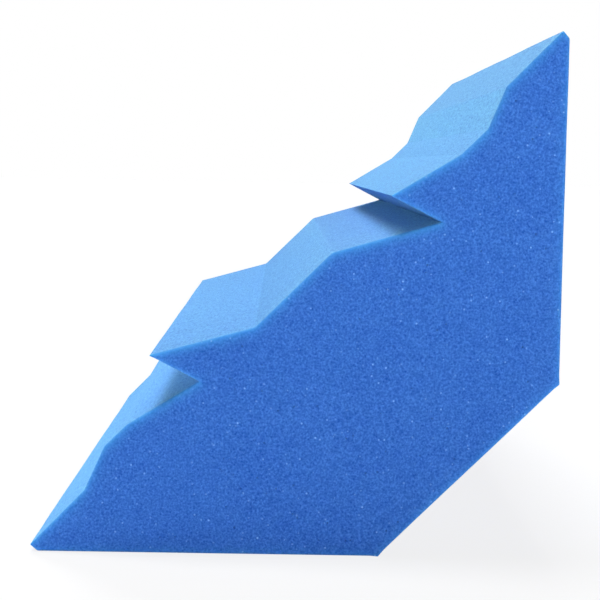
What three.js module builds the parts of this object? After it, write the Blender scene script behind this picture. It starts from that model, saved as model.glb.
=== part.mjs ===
// Corner bass trap: one block of soft open-cell foam, cut to fill the corner where two walls meet.
// Its section has two flat legs at a right angle, a 45 degree cut that keeps it clear of the corner
// itself, and a waved front that runs from one thin tip to the other along the diagonal.
// Millimetres, +Z up. The block lies on its base leg, its length runs along Y, its wall leg faces +X,
// and the origin is on the ground under the middle of its box.
import * as THREE from "three";

// Overall sizes
const leg = 300; // reach of the base leg and of the wall leg, measured to the thin tips
const length = 600;
const cornerCut = 101; // what the 45 degree cut takes off each leg at the room's corner
const tipCut = 4; // what the blunt cut across each thin tip takes off its leg

// Depths of the waves, measured square to the diagonal
const notchDepth = 30.3;
const stepDepth = 10.6;
const rampDepth = 0.7;

// Roundings of the section
const foldRadius = 5; // soft folds along the front
const bladeRadius = 0.25; // lips and notch roots, where the blade turned on the spot
const edgeRadius = 0.6; // edges where two cuts cross, at the tips and the corner cut
const blunting = 3; // where a leg meets the blunt cut across its tip
const arcSteps = 5;

// Turning points of the front, as shares of the run from the middle of the diagonal to a tip
const crestShare = 0.145;
const lipShare = 0.362;
const rootShare = 0.409;
const stepStartShare = 0.579;
const stepEndShare = 0.671;
const rampShare = 0.79;
const driftShare = 0.005; // how much nearer the upper tip the notches and steps of both halves lie

const foamBlue = 0x346bcf;

// Half of the front, from the middle of the diagonal towards a tip. Each corner says how far along
// the diagonal it lies, how far it stands out of it, and its rounding.
function halfFront(run, drift) {
  return [
    { along: run * crestShare, out: 0, radius: foldRadius },
    { along: run * (rootShare + drift), out: -notchDepth, radius: bladeRadius },
    { along: run * (lipShare + drift), out: 0, radius: bladeRadius },
    { along: run * stepStartShare, out: -stepDepth, radius: foldRadius },
    { along: run * (stepEndShare + drift), out: -stepDepth, radius: foldRadius },
    { along: run * rampShare, out: -rampDepth, radius: foldRadius },
    { along: run, out: 0, radius: edgeRadius },
  ];
}

// The front is its own half turn but for that drift, as when two blocks are cut face to face out of
// one blank. So the upper half's notch is the lower half's wave.
function wholeFront(run) {
  const lower = halfFront(run, -driftShare).reverse();
  const turned = lower.map(({ along, out, radius }) => ({ along: -along, out: -out, radius }));
  return [...turned, ...halfFront(run, driftShare)];
}

// The section's corners, clockwise from the lower tip: the front, then the legs and the corner cut.
// The section's x runs along the base leg and its y up the wall leg.
function sectionCorners() {
  const middle = new THREE.Vector2(leg - tipCut, leg + tipCut).divideScalar(2);
  const upDiagonal = new THREE.Vector2(1, 1).normalize();
  const outward = new THREE.Vector2(-1, 1).normalize();
  const front = wholeFront((leg - tipCut) * Math.SQRT1_2).map(({ along, out, radius }) => ({
    at: middle.clone().addScaledVector(upDiagonal, along).addScaledVector(outward, out),
    radius,
  }));
  const legEnds = [
    [leg, leg - tipCut, blunting],
    [leg, cornerCut, edgeRadius],
    [leg - cornerCut, 0, edgeRadius],
    [tipCut, 0, blunting],
  ].map(([x, y, radius]) => ({ at: new THREE.Vector2(x, y), radius }));
  return [...front, ...legEnds];
}

// A closed outline that rounds each corner with an arc of the corner's own radius.
function roundedOutline(corners) {
  const outline = new THREE.Shape();
  corners.forEach(({ at, radius }, i) => {
    const back = corners.at(i - 1).at.clone().sub(at).normalize();
    const ahead = corners[(i + 1) % corners.length].at.clone().sub(at).normalize();
    const halfAngle = back.angleTo(ahead) / 2;
    const reach = radius / Math.tan(halfAngle);
    const centre = back.clone().add(ahead).setLength(radius / Math.sin(halfAngle)).add(at);
    const start = at.clone().addScaledVector(back, reach).sub(centre);
    const end = at.clone().addScaledVector(ahead, reach).sub(centre);
    outline.absarc(centre.x, centre.y, radius, start.angle(), end.angle(), start.cross(end) < 0);
  });
  return outline;
}

function foamMaterial() {
  return new THREE.MeshStandardMaterial({ color: foamBlue, roughness: 0.95, metalness: 0 });
}

// The section is drawn flat, pushed out to the block's length, and turned so that its y points up.
function foamBlock() {
  const geometry = new THREE.ExtrudeGeometry(roundedOutline(sectionCorners()), {
    depth: length,
    curveSegments: arcSteps,
    bevelEnabled: false,
  });
  const block = new THREE.Mesh(geometry, foamMaterial());
  block.name = "foam_block";
  block.rotation.x = Math.PI / 2;
  block.position.set(-leg / 2, length / 2, 0);
  return block;
}

const bassTrap = new THREE.Group();
bassTrap.add(foamBlock());

export default bassTrap;
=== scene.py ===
import math

import bmesh
import bpy
import numpy as np
from mathutils import Matrix, Vector, noise
from mathutils.geometry import delaunay_2d_cdt


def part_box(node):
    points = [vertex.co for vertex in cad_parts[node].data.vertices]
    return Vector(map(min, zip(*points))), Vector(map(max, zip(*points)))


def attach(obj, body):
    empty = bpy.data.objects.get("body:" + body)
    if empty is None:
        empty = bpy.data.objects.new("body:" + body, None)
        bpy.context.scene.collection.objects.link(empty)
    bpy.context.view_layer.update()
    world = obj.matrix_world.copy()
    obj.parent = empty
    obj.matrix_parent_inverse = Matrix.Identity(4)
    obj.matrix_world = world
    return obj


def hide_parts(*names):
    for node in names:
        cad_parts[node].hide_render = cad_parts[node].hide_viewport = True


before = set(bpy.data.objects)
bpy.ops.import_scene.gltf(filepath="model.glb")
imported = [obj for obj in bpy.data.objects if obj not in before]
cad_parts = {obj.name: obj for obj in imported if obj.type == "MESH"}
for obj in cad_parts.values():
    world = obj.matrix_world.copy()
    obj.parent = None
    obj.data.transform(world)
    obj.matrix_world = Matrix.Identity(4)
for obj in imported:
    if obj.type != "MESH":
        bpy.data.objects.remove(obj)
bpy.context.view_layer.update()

MM = 0.001

# Camera, as fitted to the edges of the block in the photo
IMAGE_PX = 600
FOCAL_PX = 1622.7
SENSOR_MM = 36
CAMERA_AT = Vector((-8.7, -1213, 222.4)) * MM
CAMERA_YAW = -0.655
CAMERA_DOWN = 4.744
CAMERA_ROLL = 1.048

# Spacing of the foam's mesh
OUTLINE_STEP = 3 * MM
SLICE_STEP = 5 * MM
FACE_STEP = 2.1 * MM
JITTER_SHARE = 0.3
CROWD_SHARE = 0.6  # how far points crowd towards the corners of the section
WELD = 0.01 * MM

# Rounding of the edges round each end, less where the foam is thin
END_ROUND = 2 * MM
ROUND_STEPS = 4
ROUND_EASE = 0.95
ROUND_SLACK = 0.02 * MM
ROUND_SLOPE = 0.4
FOLD_SHARE = 0.25
CLEAR_SHARE = 0.97
NEAR_END_SLICES = (3 * MM, 5 * MM, 8 * MM)
RIM_ROWS = (0.7 * MM, 1.6 * MM)
GRID_GAP = 2.4 * MM

# Unevenness that the cut leaves, as wavelengths and heights
WAVES = ((130 * MM, 0.35 * MM), (35 * MM, 0.1 * MM), (11 * MM, 0.04 * MM))
GROUND_FADE = 4 * MM

# Open pits in the end faces
PITS_PER_END = 70
PIT_RADII = (0.35 * MM, 0.75 * MM)
PIT_DEPTH_SHARE = 1.4
PIT_RIM_POINTS = 8
PIT_RING_SHARE = 0.6
PIT_EDGE_GAP = 4 * MM
PIT_GRID_GAP = FACE_STEP / 3
PIT_TRIES = 8  # spots tried for each pit
PIT_SPACING = 3  # least distance between two pits, in radii of the widest
SEED = 11

# How the block's mesh and its texture are laid out
ROW_SKIP = 2  # a row beside the rim has one point for so many of the rim's
INSIDE_ONLY = 1  # has the triangulation keep what lies inside the rim
SAME_POINT = 0.0001 * MM
POINTS_AT_ONCE = 2000
TEXTURE_GAP = 0.01  # round the parts of the block on its texture, as a share of the texture's side

# Foam colours and the sizes of its texture
FOAM_DEEP = (0.01, 0.1, 0.545)
FOAM_PALE = (0.08, 0.28, 0.825)
# The pit colour is painted shade, darkening the hollows of the pits
PIT_SHADE_COLOUR = (0.01, 0.06, 0.27)
SPECK_COLOUR = (0.24, 0.54, 1.0)
# The edge glow colour is painted light: a glow of light seeping through the thin foam at the cut
# edges
EDGE_GLOW_COLOUR = (0.085, 0.48, 1.0)
EDGE_GLOW_DEPTH = 1.9 * MM  # how far the painted glow of light through the thin foam reaches in from a cut edge
EDGE_GLOW_LEAST = 0.4
CELL = 1.7 * MM
GRAIN = 1.3 * MM
DRAG = 6  # how much longer the grain of the sides is along the block, as if a blade had dragged it
CLUMP = 7 * MM
SPECK = 4 * MM
MOTTLE = 50 * MM

# Where each texture begins to show, and where it shows fully
GRAIN_RANGE = (0.3, 0.8)
PORE_RANGE = (0.5, 0.15)
SPECK_RANGE = (0.19, 0.08)
SPECK_CLUMP_RANGE = (0.36, 0.6)
CLOUD_MEAN = 0.5

# How much paler each texture makes the foam
PALE_START = -0.03
PALE_GRAIN = 0.93
PALE_CLUMPS = 0.25
PALE_MOTTLE = 0.2
# The pores' negative share is painted shade in the hollows of the foam's cells
PORE_SHADE = -0.25
PALE_STREAKS = 1.3

# How the foam's surface takes the light
# How strongly shade is painted into the pits
PIT_SHADE_STRENGTH = 0.6
BUMP_PORES = -0.6
BUMP_STRENGTH = 0.5
BUMP_HEIGHT = 0.3 * MM
SCATTER_DEPTH = 3 * MM
SHEEN = 0.6
SHEEN_STREAKS = 0.9
SHEEN_TINT = (0.25, 0.77, 0.8, 1)

# Studio
WHITE = (1, 1, 1, 1)
FLOOR_HALF = 20
FLOOR_COLOUR = (0.9, 0.9, 0.9, 1)
FLOOR_WHITE_SHARE = 0.84  # how much of the floor shows as plain white, over its shading
WORLD_LEVEL = 0.04


def section_outline(node):
    """The block's section as x and z, anticlockwise, read off its end at the lowest y."""
    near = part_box(node.name)[0].y
    bm = bmesh.new()
    bm.from_mesh(node.data)
    bmesh.ops.remove_doubles(bm, verts=bm.verts, dist=WELD)
    at_end = {v for v in bm.verts if abs(v.co.y - near) < WELD}
    beside = {v: [] for v in at_end}
    for edge in bm.edges:
        a, b = edge.verts
        meets_side = any(v not in at_end for face in edge.link_faces for v in face.verts)
        if a in at_end and b in at_end and meets_side:
            beside[a].append(b)
            beside[b].append(a)
    start = min(at_end, key=lambda v: (v.co.z, v.co.x))
    walk = [start, max(beside[start], key=lambda v: v.co.x)]
    while True:
        ahead = next(v for v in beside[walk[-1]] if v != walk[-2])
        if ahead == start:
            break
        walk.append(ahead)
    outline = np.array([(v.co.x, v.co.z) for v in walk])
    bm.free()
    return outline


def resampled(outline):
    """The outline with its long stretches divided, more finely towards their corners."""
    points = []
    for a, b in zip(outline, np.roll(outline, -1, 0)):
        count = max(1, math.ceil(np.linalg.norm(b - a) / OUTLINE_STEP))
        for k in range(count):
            turn = math.tau * k / count
            points.append(a + (b - a) * (turn - CROWD_SHARE * math.sin(turn)) / math.tau)
    return np.array(points)


def inward_normals(outline):
    """Unit normals of an anticlockwise outline, pointing into the foam."""
    before = outline - np.roll(outline, 1, 0)
    after = np.roll(before, -1, 0)
    along = before / np.linalg.norm(before, axis=1)[:, None]
    along += after / np.linalg.norm(after, axis=1)[:, None]
    along /= np.linalg.norm(along, axis=1)[:, None]
    return np.stack([-along[:, 1], along[:, 0]], 1)


def clearance(points, outline):
    """The distance from each point to the outline."""
    run = np.roll(outline, -1, 0) - outline
    share = ((points[:, None] - outline) * run).sum(2) / (run * run).sum(1)
    nearest = outline + np.clip(share, 0, 1)[..., None] * run
    return np.linalg.norm(points[:, None] - nearest, axis=2).min(1)


def inside(points, outline):
    """Which points lie inside the outline, by the crossings to their right."""
    ax, az = outline.T
    bx, bz = np.roll(outline, -1, 0).T
    x, z = points[:, :1], points[:, 1:]
    spans = (az > z) != (bz > z)
    rise = np.where(bz == az, 1, bz - az)
    return (spans & (x < ax + (z - az) * (bx - ax) / rise)).sum(1) % 2 == 1


def rounding_radii(outline, normals):
    """The rounding at each point, eased until the rim inside it neither folds nor nears a side."""
    radii = np.full(len(outline), END_ROUND)
    ahead = np.roll(outline, -1, 0) - outline
    rise = np.linalg.norm(ahead, axis=1) * ROUND_SLOPE
    while True:
        rim = outline + normals * radii[:, None]
        folds = ((np.roll(rim, -1, 0) - rim) * ahead).sum(1) < FOLD_SHARE * (ahead * ahead).sum(1)
        tight = folds | np.roll(folds, 1) | (clearance(rim, outline) < radii - ROUND_SLACK)
        tight |= (radii > np.roll(radii, -1) + rise) | (radii > np.roll(radii + rise, 1))
        if not tight.any():
            return radii
        radii[tight] *= ROUND_EASE


def rings(outline, low, high):
    """The block's cross rings from its low end to its high end, as an array of rings of points."""
    normals = inward_normals(outline)
    radii = rounding_radii(outline, normals)

    def ring(inset, y):
        at = outline + normals * np.reshape(inset, (-1, 1))
        return np.stack([at[:, 0], np.broadcast_to(y, len(at)), at[:, 1]], 1)

    turns = [math.pi / 2 * k / ROUND_STEPS for k in range(ROUND_STEPS + 1)]
    insets = [radii * (1 - math.cos(t)) for t in turns]
    drops = [radii * (1 - math.sin(t)) for t in turns]
    gaps = np.array(NEAR_END_SLICES)
    count = round((high - low - 2 * gaps[-1]) / SLICE_STEP)
    middle = np.linspace(low + gaps[-1], high - gaps[-1], count + 1)
    slices = [*(low + gaps[:-1]), *middle, *(high - gaps[-2::-1])]
    first = [ring(i, low + d) for i, d in zip(insets[::-1], drops[::-1])]
    last = [ring(i, high - d) for i, d in zip(insets, drops)]
    return np.array([*first, *(ring(0, y) for y in slices), *last])


def pit_places(rim, rng):
    """The pits of one end face, as rows of x, z and radius."""
    low, high = rim.min(0), rim.max(0)
    spots = low + rng.random((PITS_PER_END * PIT_TRIES, 2)) * (high - low)
    spots = spots[inside(spots, rim) & (clearance(spots, rim) > PIT_EDGE_GAP)]
    spacing = PIT_SPACING * PIT_RADII[1]
    kept = []
    for spot in spots:
        if all(np.linalg.norm(spot - pit[:2]) > spacing for pit in kept):
            kept.append(np.append(spot, rng.uniform(*PIT_RADII)))
    return np.array(kept[:PITS_PER_END])


def pit_points(pit):
    """The points of one pit: its rim, the ring inside it and its bottom."""
    turn = np.arange(PIT_RIM_POINTS) * math.tau / PIT_RIM_POINTS
    ring = np.stack([np.cos(turn), np.sin(turn)], 1) * pit[2]
    return [*(pit[:2] + ring), *(pit[:2] + ring * PIT_RING_SHARE), pit[:2]]


def face_points(rim, pits, rng):
    """The points that fill an end face: rows beside its rim, a jittered grid and the pits."""
    normals = inward_normals(rim)
    rows = []
    for inset in RIM_ROWS:
        row = (rim + normals * inset)[::ROW_SKIP]
        rows.append(row[clearance(row, rim) > CLEAR_SHARE * inset])
    low, high = rim.min(0), rim.max(0)
    across = np.arange(low[0], high[0], FACE_STEP)
    up = np.arange(low[1], high[1], FACE_STEP * math.sin(math.pi / 3))
    grid = np.array([(x + FACE_STEP / 2 * (k % 2), z) for k, z in enumerate(up) for x in across])
    grid += rng.uniform(-1, 1, grid.shape) * FACE_STEP * JITTER_SHARE
    grid = grid[inside(grid, rim)]
    grid = grid[clearance(grid, rim) > GRID_GAP]
    off = np.linalg.norm(grid[:, None] - pits[:, :2], axis=2) - pits[:, 2]
    grid = grid[off.min(1) > PIT_GRID_GAP]
    return np.concatenate([*rows, grid, *(pit_points(pit) for pit in pits)])


def pit_shares(points, pits):
    """How far into a pit each point lies, from 0 at its rim to 1 at its middle, and its depth."""
    away = np.linalg.norm(points[:, None] - pits[:, :2], axis=2) / pits[:, 2]
    nearest = away.argmin(1)
    share = 1 - np.clip(away.min(1), 0, 1) ** 2
    return share, share * pits[nearest, 2] * PIT_DEPTH_SHARE


def triangles(rim, fill):
    """Triangles over an end face, numbered through the rim's points and then the fill's."""
    points = [Vector(p) for p in np.concatenate([rim, fill])]
    edges = [(k, (k + 1) % len(rim)) for k in range(len(rim))]
    made = delaunay_2d_cdt(points, edges, [], INSIDE_ONLY, SAME_POINT)
    if len(made[0]) != len(points):
        raise ValueError("an end face's rim crosses itself or its fill")
    number = [sources[0] for sources in made[3]]
    return np.array([[number[v] for v in face] for face in made[2]])


def block_parts(outline, low, high):
    """The whole block's points, quads and triangles, and how far into a pit each point lies."""
    rng = np.random.default_rng(SEED)
    body = rings(outline, low, high)
    count, wide = body.shape[:2]
    here = np.arange(count * wide).reshape(count, wide)
    beside = np.roll(here, -1, 1)
    quads = np.stack([here[:-1], here[1:], beside[1:], beside[:-1]], 2).reshape(-1, 4)
    points, pitted, faces = [body.reshape(-1, 3)], [np.zeros(count * wide)], []
    for ring, end, into in ((here[0], low, 1), (here[-1], high, -1)):
        rim = points[0][ring][:, [0, 2]]
        pits = pit_places(rim, rng)
        fill = face_points(rim, pits, rng)
        share, depth = pit_shares(fill, pits)
        first = sum(map(len, points))
        number = np.concatenate([ring, np.arange(first, first + len(fill))])
        faces.append(number[triangles(rim, fill)][:, ::into])
        points.append(np.stack([fill[:, 0], end + into * depth, fill[:, 1]], 1))
        pitted.append(share)
    points = np.concatenate(points)
    return points, quads, np.concatenate(faces), np.concatenate(pitted)


def cut_unevenness(points):
    """The height of the cut's unevenness at each point, fading out towards the ground."""
    height = np.zeros(len(points))
    for wavelength, rise in WAVES:
        height += rise * np.array([noise.noise(Vector(p) / wavelength) for p in points])
    return height * np.clip(points[:, 2] / GROUND_FADE, 0, 1)


def painted_edge_glow(points, outline, low, high):
    """A painted glow of light by the edges round each end, as light seeping through the thin foam,
    most where the side looks up.
    """
    from_end = np.minimum(points[:, 1] - low, high - points[:, 1])
    from_side, nearest = [], []
    for part in np.array_split(points[:, [0, 2]], 1 + len(points) // POINTS_AT_ONCE):
        away = np.linalg.norm(part[:, None] - outline, axis=2)
        nearest.append(away.argmin(1))
        from_side.append(clearance(part, outline))
    up = -inward_normals(outline)[np.concatenate(nearest), 1]
    strength = EDGE_GLOW_LEAST + (1 - EDGE_GLOW_LEAST) * np.clip(up, 0, 1)
    return strength * np.exp(-np.hypot(from_end, np.concatenate(from_side)) / EDGE_GLOW_DEPTH)


def texture_places(points, quads, faces, wide):
    """Each face corner's place on a texture: the sides as one strip, with the two ends above it."""
    body = points[:quads.max() + 1].reshape(-1, wide, 3)
    closed = np.concatenate([body, body[:, :1]], 1)
    around = np.linalg.norm(np.diff(closed[len(body) // 2], axis=0), axis=1)
    ahead = np.linalg.norm(np.diff(body, axis=0), axis=2).mean(1)
    half = 0.5 - 2 * TEXTURE_GAP
    u = TEXTURE_GAP + (1 - 2 * TEXTURE_GAP) * np.append(0, around.cumsum() / around.sum())
    v = TEXTURE_GAP + half * np.append(0, ahead.cumsum() / ahead.sum())
    row, column = np.divmod(np.arange(len(quads)), wide)
    corners = ((column, row), (column, row + 1), (column + 1, row + 1), (column + 1, row))
    sides = np.stack([np.stack([u[i], v[k]], 1) for i, k in corners], 1).reshape(-1, 2)

    low, high = points.min(0), points.max(0)
    share = (points[faces].reshape(-1, 3) - low) / (high - low)
    far = share[:, 1] > 0.5
    x = np.where(far, 1 - share[:, 0], share[:, 0])
    place = np.stack([x, share[:, 2]], 1) * half + TEXTURE_GAP
    return np.concatenate([sides, place + np.stack([0.5 * far, np.full(len(far), 0.5)], 1)])


def set_share(mesh, name, values):
    mesh.attributes.new(name, "FLOAT", "POINT").data.foreach_set("value", values.astype(np.float32))


def placed(name, data):
    """A new object in the scene, made of data."""
    made = bpy.data.objects.new(name, data)
    bpy.context.collection.objects.link(made)
    return made


def foam_block(node):
    """The foam block as one closed mesh over the node's own section and length."""
    low, high = (corner.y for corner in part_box(node.name))
    outline = resampled(section_outline(node))
    points, quads, faces, pitted = block_parts(outline, low, high)
    mesh = bpy.data.meshes.new("foam_body")
    mesh.from_pydata(points.tolist(), [], quads.tolist() + faces.tolist())
    normals = np.zeros(len(points) * 3)
    mesh.vertex_normals.foreach_get("vector", normals)
    moved = points + normals.reshape(-1, 3) * cut_unevenness(points)[:, None]
    mesh.vertices.foreach_set("co", moved.ravel())
    # How far into a pit each point lies, by which the material paints shade into the pits
    set_share(mesh, "pit", pitted)
    # A painted glow of light along the cut edges, strongest where the side looks up
    set_share(mesh, "edge_glow", painted_edge_glow(points, outline, low, high))
    from_end = np.minimum(points[:, 1] - low, high - points[:, 1])
    set_share(mesh, "side", np.clip(from_end / END_ROUND, 0, 1))
    places = texture_places(points, quads, faces, len(outline))
    mesh.uv_layers.new(name="OFBake").uv.foreach_set("vector", places.astype(np.float32).ravel())
    mesh.shade_smooth()
    mesh.update()
    return placed("foam_body", mesh)


def emptied(owner):
    """The node tree of a material or world, switched on and cleared."""
    owner.use_nodes = True
    owner.node_tree.nodes.clear()
    return owner.node_tree


def node(tree, kind, inputs=(), **settings):
    """A new shader node. An input is a value, or the socket that feeds it."""
    made = tree.nodes.new("ShaderNode" + kind)
    for name, value in settings.items():
        setattr(made, name, value)
    for name, value in dict(inputs).items():
        if isinstance(value, bpy.types.NodeSocket):
            tree.links.new(value, made.inputs[name])
        else:
            made.inputs[name].default_value = value
    return made


def share_of(tree, name):
    """The share that set_share gave each point under this name."""
    return node(tree, "Attribute", attribute_name=name).outputs["Fac"]


def clouds(tree, place, size, detail, roughness=0.5):
    """Soft noise with features about as wide as size."""
    inputs = {"Vector": place, "Scale": 1 / size, "Detail": detail, "Roughness": roughness}
    return node(tree, "TexNoise", inputs).outputs[0]


def ramp(tree, value, low, high):
    """A smooth rise from 0, where value is low, to 1, where it is high."""
    inputs = {0: value, 1: low, 2: high}
    return node(tree, "MapRange", inputs, interpolation_type="SMOOTHSTEP").outputs[0]


def times(tree, a, b):
    return node(tree, "Math", {0: a, 1: b}, operation="MULTIPLY").outputs[0]


def greater(tree, a, b):
    return node(tree, "Math", {0: a, 1: b}, operation="MAXIMUM").outputs[0]


def total(tree, start, *parts):
    """start, plus each part's socket times its weight."""
    for socket, weight in parts:
        inputs = {0: socket, 1: weight, 2: start}
        start = node(tree, "Math", inputs, operation="MULTIPLY_ADD").outputs[0]
    return start


def mixed(tree, share, a, b):
    """Colour a, turned into colour b by share."""
    colours = {6: (*a, 1) if isinstance(a, tuple) else a, 7: (*b, 1)}
    return node(tree, "Mix", {0: share, **colours}, data_type="RGBA").outputs[2]


def foam_material():
    """Open-cell foam: a blue that the cells make paler and deeper, with specks and pits, painted
    shade in the pits and the cells' hollows, and a painted glow of light along the cut edges.
    """
    material = bpy.data.materials.new("acoustic_foam")
    tree = emptied(material)
    place = node(tree, "TexCoord").outputs["Object"]

    cells = node(tree, "TexVoronoi", {"Vector": place, "Scale": 1 / CELL})
    pore = ramp(tree, cells.outputs["Distance"], *PORE_RANGE)
    grain = clouds(tree, place, GRAIN, detail=4, roughness=0.65)
    clumps = clouds(tree, place, CLUMP, detail=1)
    mottle = clouds(tree, place, MOTTLE, detail=1)

    specks = node(tree, "TexVoronoi", {"Vector": place, "Scale": 1 / SPECK})
    chance = node(tree, "SeparateColor", {0: specks.outputs["Color"]}).outputs[0]
    speck = ramp(tree, specks.outputs["Distance"], *SPECK_RANGE)
    speck = times(tree, speck, ramp(tree, chance, 0, 1))
    speck = times(tree, speck, ramp(tree, clumps, *SPECK_CLUMP_RANGE))

    dragged = node(tree, "Mapping", {"Vector": place, "Scale": (1, 1 / DRAG, 1)}).outputs[0]
    streaks = total(tree, -CLOUD_MEAN, (clouds(tree, dragged, GRAIN, detail=3), 1))
    streaks = times(tree, streaks, share_of(tree, "side"))

    # The pores darken the middles of the cells: painted shade in their hollows
    paleness = total(
        tree, PALE_START, (ramp(tree, grain, *GRAIN_RANGE), PALE_GRAIN), (clumps, PALE_CLUMPS),
        (mottle, PALE_MOTTLE), (pore, PORE_SHADE), (streaks, PALE_STREAKS))
    colour = mixed(tree, paleness, FOAM_DEEP, FOAM_PALE)
    # Painted glow of light along the cut edges, strongest where the side looks up
    colour = mixed(tree, share_of(tree, "edge_glow"), colour, EDGE_GLOW_COLOUR)
    colour = mixed(tree, speck, colour, SPECK_COLOUR)
    # Painted shade in the pits, deepest at their middles
    colour = mixed(tree, times(tree, share_of(tree, "pit"), PIT_SHADE_STRENGTH), colour, PIT_SHADE_COLOUR)

    height = total(tree, 0, (grain, 1), (pore, BUMP_PORES))
    bump_inputs = {"Strength": BUMP_STRENGTH, "Distance": BUMP_HEIGHT, "Height": height}
    bump = node(tree, "Bump", bump_inputs)
    shader = node(tree, "BsdfPrincipled", {
        "Base Color": colour,
        "Normal": bump.outputs[0],
        "Roughness": 0.95,
        "Specular IOR Level": 0.35,
        "Subsurface Weight": 0.5,
        "Subsurface Radius": (0.35, 0.7, 1.0),
        "Subsurface Scale": SCATTER_DEPTH,
        "Sheen Weight": total(tree, SHEEN, (streaks, SHEEN_STREAKS)),
        "Sheen Roughness": 0.4,
        "Sheen Tint": SHEEN_TINT,
    })
    node(tree, "OutputMaterial", {"Surface": shader.outputs[0]})
    return material


def shown_directly(tree):
    """1 where the camera sees the surface itself, or sees it in a reflection or through glass."""
    path = node(tree, "LightPath").outputs
    straight = greater(tree, path["Is Camera Ray"], path["Is Glossy Ray"])
    return greater(tree, straight, path["Is Transmission Ray"])


def blend(tree, share, a, b):
    """The output of shader a, turned into shader b by share."""
    return node(tree, "MixShader", {0: share, 1: a.outputs[0], 2: b.outputs[0]}).outputs[0]


def floor():
    """A wide pale floor that shows as white and keeps a soft shadow."""
    mesh = bpy.data.meshes.new("floor")
    corners = [(FLOOR_HALF * x, FLOOR_HALF * y, 0) for x, y in ((-1, -1), (1, -1), (1, 1), (-1, 1))]
    mesh.from_pydata(corners, [], [(0, 1, 2, 3)])
    material = bpy.data.materials.new("pale_floor")
    tree = emptied(material)
    matte = node(tree, "BsdfDiffuse", {"Color": FLOOR_COLOUR})
    white = node(tree, "Emission", {"Color": WHITE, "Strength": 1})
    share = times(tree, shown_directly(tree), FLOOR_WHITE_SHARE)
    node(tree, "OutputMaterial", {"Surface": blend(tree, share, matte, white)})
    mesh.materials.append(material)
    made = placed("floor", mesh)


def surroundings():
    """White all round for the camera, and an even soft light for the foam."""
    world = bpy.data.worlds.new("studio")
    bpy.context.scene.world = world
    tree = emptied(world)
    light = node(tree, "Background", {"Color": WHITE, "Strength": WORLD_LEVEL})
    white = node(tree, "Background", {"Color": WHITE, "Strength": 1})
    node(tree, "OutputWorld", {"Surface": blend(tree, shown_directly(tree), light, white)})


def lamp(name, level, spread, towards):
    """A far, soft studio lamp. level is the light it throws on a surface square to it."""
    data = bpy.data.lights.new(name, "SUN")
    data.energy = level * math.pi
    data.angle = math.radians(spread)
    made = placed(name, data)
    made.rotation_euler = Vector(towards).to_track_quat("-Z", "Y").to_euler()


def panel(name, level, sides, at, target):
    """An oblong lamp close by. level is the light it throws on a surface that faces it at target."""
    away = Vector(target) - Vector(at)
    data = bpy.data.lights.new(name, "AREA")
    data.energy = level * math.pi ** 2 * away.length_squared
    data.shape = "RECTANGLE"
    data.size, data.size_y = sides
    made = placed(name, data)
    made.location = at
    made.rotation_euler = away.to_track_quat("-Z", "Y").to_euler()
    made.visible_camera = False


def camera():
    data = bpy.data.cameras.new("camera")
    data.sensor_width = SENSOR_MM
    data.lens = FOCAL_PX / IMAGE_PX * SENSOR_MM
    turn = Matrix.Rotation(math.radians(CAMERA_YAW), 4, "Z")
    tilt = Matrix.Rotation(math.radians(90 - CAMERA_DOWN), 4, "X")
    roll = Matrix.Rotation(math.radians(CAMERA_ROLL), 4, "Z")
    made = placed("camera", data)
    made.matrix_world = Matrix.Translation(CAMERA_AT) @ turn @ tilt @ roll
    bpy.context.scene.camera = made


camera()
block = foam_block(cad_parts["foam_block"])
block.data.materials.append(foam_material())
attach(block, "root")
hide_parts("foam_block")

floor()
surroundings()
lamp("front", level=0.61, spread=12, towards=(-0.12, 1, -0.02))
lamp("top", level=0.64, spread=20, towards=(0.1, -0.15, -1))
lamp("back_top", level=0.88, spread=20, towards=(0.08, -0.87, -0.5))
lamp("right_fill", level=0.12, spread=60, towards=(-1, 0, -0.3))
panel("low_left", level=0.58, sides=(0.5, 0.07), at=(-0.36, -0.05, 0.045), target=(-0.12, -0.05, 0.1))
bpy.context.scene.view_settings.view_transform = "Standard"
